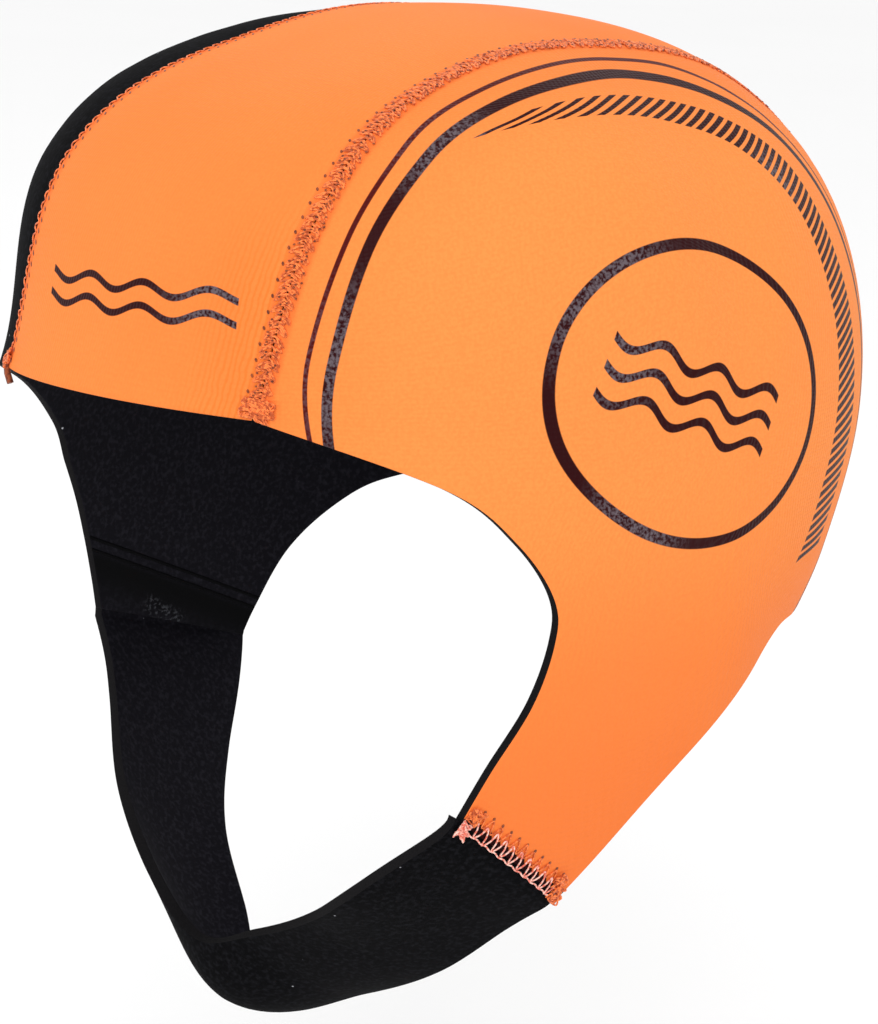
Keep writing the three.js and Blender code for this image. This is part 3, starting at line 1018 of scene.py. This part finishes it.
# %% [markdown]
# A looper thread swings from one side of the seam to the other and back, a little unevenly, as
# the cloth was fed by hand. Where a seam starts or ends the loops are loose and lie in a tangle.
# The numbers that vary come from a fixed seed, so that every run gives the same threads.

# %% Paths that swing, and loose loops
CROSSING_POINTS = 6
TUFT_KNOTS = 6
LOOP_LIFT = 0.15


def swinging(seam, span, pitch, offsets, seed, lean=0.0, lift=0.2, arch=0.15, jitter=0.0):
    """Path that crosses a seam once in a pitch; its lean bends each crossing into a V."""
    random = np.random.default_rng(seed)
    crossings = int((span[1] - span[0]) / pitch)
    t = np.linspace(0, crossings, crossings * CROSSING_POINTS + 1)
    swing = 0.5 - 0.5 * np.cos(math.pi * t)
    middle = np.sin(math.pi * swing)
    shifts = random.uniform(-jitter, jitter, (2, crossings + 1))
    aside, ahead = (np.interp(t, range(crossings + 1), shift) for shift in shifts)
    offset = offsets[0] + (offsets[1] - offsets[0]) * swing + aside
    run = np.clip(span[0] + t * pitch + lean * middle + ahead, 0, seam.length)
    return seam.at(run, offset, lift + arch * middle)


def loose_loops(seam, run, offset, reach, height, loops, seed):
    """Closed loops of thread through random places round a point of the seam."""
    random = np.random.default_rng(seed)
    paths = []
    for _ in range(loops):
        knots = random.uniform(-1, 1, (TUFT_KNOTS, 3))
        ring = np.vstack([knots[-1:], knots, knots[:2]])
        a, b, c = spline(ring, np.linspace(1, TUFT_KNOTS + 1, 8 * TUFT_KNOTS, endpoint=False)).T
        heights = LOOP_LIFT + (1 + c) * height / 2
        paths.append(seam.at(run + a * reach[0], offset + b * reach[1], heights))
    return paths


# %% [markdown]
# A curve with a round bevel turns each path into a thread, and is then made a mesh, so that it
# exports as it looks. A needle hole is a flat dark bead, sunk in the cloth and turned to the seam.

# %% Threads from paths
THREAD_RINGS = 1


def dressed(name, mesh, material):
    piece = bpy.data.objects.new(name, mesh)
    bpy.context.scene.collection.objects.link(piece)
    mesh.materials.append(material)
    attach(piece, "root")
    print(name, len(mesh.polygons), "faces")
    return piece


def thread(name, paths, radius, material, closed=False):
    curve = bpy.data.curves.new(name, "CURVE")
    curve.dimensions = "3D"
    curve.bevel_depth = radius * MM
    curve.bevel_resolution = THREAD_RINGS
    curve.use_fill_caps = True
    for path in paths:
        line = curve.splines.new("POLY")
        line.points.add(len(path) - 1)
        corners = np.column_stack([in_row_frame(path), np.ones(len(path))])
        line.points.foreach_set("co", corners.ravel())
        line.use_cyclic_u = closed
    shape = bpy.data.objects.new(name + "_path", curve)
    mesh = bpy.data.meshes.new_from_object(shape)
    mesh.name = name
    mesh.materials.clear()
    mesh.shade_smooth()
    bpy.data.objects.remove(shape)
    bpy.data.curves.remove(curve)
    return dressed(name, mesh, material)


# %% Needle holes
HOLE_LIFT = 0.02
HOLE_DEPTH = 0.1


def needle_holes(name, seam, runs, offset, size, turn, lift=HOLE_LIFT, scatter=0.0):
    """Flat dark dimples where the needle went in."""
    random = np.random.default_rng(len(runs))
    bm = bmesh.new()
    for run in runs:
        place, ahead = seam.at([run, run + 0.5], offset + random.uniform(-scatter, scatter), lift)
        outward = Vector(seam.column(seam.normals, run))
        ahead = Vector(ahead - place).normalized()
        basis = Matrix((ahead, outward.cross(ahead), outward)).transposed().to_4x4()
        scale = Matrix.Diagonal((*size, HOLE_DEPTH, 1 / MM))
        shape = basis @ Matrix.Rotation(turn, 4, "Z") @ scale * MM
        shape.translation = in_row_frame(place)
        bmesh.ops.create_icosphere(bm, subdivisions=1, radius=1, matrix=shape)
    mesh = bpy.data.meshes.new(name)
    bm.to_mesh(mesh)
    bm.free()
    return dressed(name, mesh, HOLE_DARK)


# %% [markdown]
# Threads are not one colour either: every strand shows its twist as a lighter and a darker
# orange. The overlock's loops are a pale pink, and a needle hole is a dark dimple.

# %% Thread colours
def thread_material(name, deep, light):
    recipe = Recipe(name, 0.55, Sheen_Weight=0.2, Specular_IOR_Level=0.25)
    strands = recipe.noise(1600.0, 2.0)
    color = recipe.mix(recipe.fade(strands, 0.38, 0.62), deep, light)
    return recipe.finish(color, None, recipe.bump(strands, 0.6, 0.00015))


ORANGE_THREAD = thread_material("orange_thread", (0.52, 0.085, 0.015, 1), (1.0, 0.24, 0.05, 1))
PINK_THREAD = thread_material("pink_thread", (0.8, 0.16, 0.1, 1), (1.0, 0.62, 0.52, 1))
HOLE_DARK = thread_material("hole_dark", (0.12, 0.02, 0.005, 1), (0.3, 0.06, 0.012, 1))

# %% [markdown]
# The near seam faces the camera, so its braid is made of three threads that cross each other,
# with small dark pits between them and a row of needle holes beside it. The tuft at the brow is
# where the machine stitched to and fro to lock the seam.

# %% Near seam
BRAID = 2.0
NEEDLE_PITCH = 3.1
PIT_PITCH = 0.62
near_span = (0.3, near_seam.length - 0.3)
BRAID_THREADS = [
    dict(pitch=1.15, offsets=(-BRAID, BRAID), lean=1.1, lift=0.03, arch=0.08, jitter=0.25, seed=2),
    dict(pitch=1.4, offsets=(BRAID, -BRAID), lean=1.1, lift=0.08, arch=0.08, jitter=0.3, seed=3),
    dict(pitch=1.0, offsets=(-1.1, 1.1), lean=0.8, lift=0.15, arch=0.05, jitter=0.3, seed=4),
]
braid = [swinging(near_seam, near_span, **row) for row in BRAID_THREADS]
thread("near_seam_braid", braid, 0.2, ORANGE_THREAD)
near_holes = np.arange(2, near_seam.length - 2, NEEDLE_PITCH)
needle_holes("near_seam_holes", near_seam, near_holes, -BRAID - 0.6, size=(0.45, 0.3), turn=0.6)
pits = np.arange(1, near_seam.length - 1, PIT_PITCH)
needle_holes(
    "near_seam_pits", near_seam, pits, 0.2, size=(0.22, 0.3), turn=0.4, lift=0.3, scatter=BRAID
)
tuft = loose_loops(near_seam, 2.4, 0.2, reach=(2.2, 3.2), height=0.5, loops=9, seed=5)
thread("near_seam_tuft", tuft, 0.2, ORANGE_THREAD, closed=True)

# %% [markdown]
# The far seam is seen at a shallow angle. One thread swings over the edge of the black panel,
# slanted needle slots stand in the orange beside it, and a dark stub hangs out at the brow.

# %% Far seam
FAR_PITCH = 2.3
far_span = (0.3, far_seam.length - 0.3)
FAR_STITCH = dict(pitch=1.15, offsets=(-0.3, 1.0), lift=0.05, arch=0.1, jitter=0.2, seed=6)
thread("far_seam_stitch", [swinging(far_seam, far_span, **FAR_STITCH)], 0.18, ORANGE_THREAD)
far_holes = np.arange(2, far_seam.length - 2, FAR_PITCH)
needle_holes("far_seam_holes", far_seam, far_holes, 2.2, size=(0.75, 0.28), turn=0.9)
tail = far_seam.at([0.3], 0.9, 0.2) + [(0, 0, 0.5), (0.5, -0.1, -1.4), (1.5, 0, -3.2)]
thread("far_seam_tail", [tail], 0.75, HOLE_DARK)
far_tuft = loose_loops(far_seam, 2.2, 0.6, reach=(2.2, 1.6), height=0.8, loops=5, seed=7)
thread("far_seam_tuft", far_tuft, 0.22, ORANGE_THREAD, closed=True)

# %% [markdown]
# The strap is overlocked to the flap: a pale thread runs along the black edge, loops back over
# the cut end in narrow Vs, and fine orange legs reach up to the needle holes. At both corners
# the machine has left a tangle.

# %% Overlock of the joint
EDGE_UP = -2.2
PURL = 0.8
LEGS_UP = -4.3
joint_span = (1.5, joint.length - 1.5)
half_stitch = STITCH_PITCH / 2
LOOP_ROW = dict(offsets=(PURL, EDGE_UP - 0.4), lean=0.3, lift=0.3, jitter=0.3, seed=8)
loops = [swinging(joint, joint_span, half_stitch, **LOOP_ROW)]
purl_runs = np.linspace(*joint_span, 60)
loops.append(joint.at(purl_runs, PURL + 0.15 * np.sin(purl_runs * 2.1), 0.35))
thread("joint_loops", loops, 0.18, PINK_THREAD)
LEG_ROW = dict(offsets=(EDGE_UP + 0.5, LEGS_UP), lift=0.15, jitter=0.25, seed=9)
legs = [swinging(joint, joint_span, half_stitch, **LEG_ROW)]
thread("joint_legs", legs, 0.16, ORANGE_THREAD)
leg_holes = np.arange(joint_span[0] + half_stitch, joint_span[1], STITCH_PITCH)
needle_holes("joint_holes", joint, leg_holes, LEGS_UP - 0.2, size=(0.4, 0.4), turn=0.0)
TUFTS = [
    dict(run=1.2, offset=-2.8, seed=10, thread=ORANGE_THREAD),
    dict(run=1.0, offset=1.0, seed=11, thread=PINK_THREAD),
    dict(run=joint.length - 2.2, offset=-0.4, seed=12, thread=ORANGE_THREAD),
    dict(run=joint.length - 4, offset=-2.5, seed=13, thread=ORANGE_THREAD),
]
for number, row in enumerate(TUFTS):
    knot = loose_loops(joint, row["run"], row["offset"], (1.9, 1.9), 1.0, 5, row["seed"])
    thread(f"joint_tuft_{number + 1}", knot, 0.19, row["thread"], closed=True)

# %% [markdown]
# ## The studio
# The cap is photographed against plain white in broad, even light. A white world gives most of
# that light, a wide lamp from the wearer's front left shapes it, and a weaker one stands on the
# other side. The floor lies well below the strap, so that the shadow on it stays faint.

# %% Floor
FLOOR_DROP = -0.32
FLOOR_SIZE = 14.0


def floor_material():
    recipe = Recipe("floor_white", 0.9, Specular_IOR_Level=0.1)
    grey = recipe.mix(recipe.noise(3.0), (0.93, 0.93, 0.93, 1), (0.95, 0.95, 0.95, 1))
    return recipe.finish(grey)


bm = bmesh.new()
bmesh.ops.create_grid(bm, x_segments=1, y_segments=1, size=FLOOR_SIZE / 2)
bmesh.ops.translate(bm, verts=bm.verts, vec=(0, 0, FLOOR_DROP))
floor_mesh = bpy.data.meshes.new("floor")
bm.to_mesh(floor_mesh)
bm.free()
floor = bpy.data.objects.new("floor", floor_mesh)
bpy.context.scene.collection.objects.link(floor)
floor_mesh.materials.append(floor_material())
print("floor", -FLOOR_DROP, "m below the crown")

# %% Lights
LIGHT_TARGET = (0, 0, -0.08)


def soft_light(name, place, size, power):
    data = bpy.data.lights.new(name, "AREA")
    data.shape = "DISK"
    data.size = size
    data.energy = power
    light = bpy.data.objects.new(name, data)
    light.location = place
    aim = Vector(LIGHT_TARGET) - Vector(place)
    light.rotation_euler = aim.to_track_quat("-Z", "Y").to_euler()
    bpy.context.scene.collection.objects.link(light)
    print("light", name, power, "W")


soft_light("key", place=(0.9, -1.0, 1.1), size=1.2, power=9)
soft_light("fill", place=(-1.1, -1.0, 0.5), size=1.4, power=3)
world = bpy.data.worlds.new("studio")
world.use_nodes = True
world.node_tree.nodes["Background"].inputs["Color"].default_value = (1, 1, 1, 1)
world.node_tree.nodes["Background"].inputs["Strength"].default_value = 1.0
bpy.context.scene.world = world
bpy.context.scene.view_settings.view_transform = "Standard"
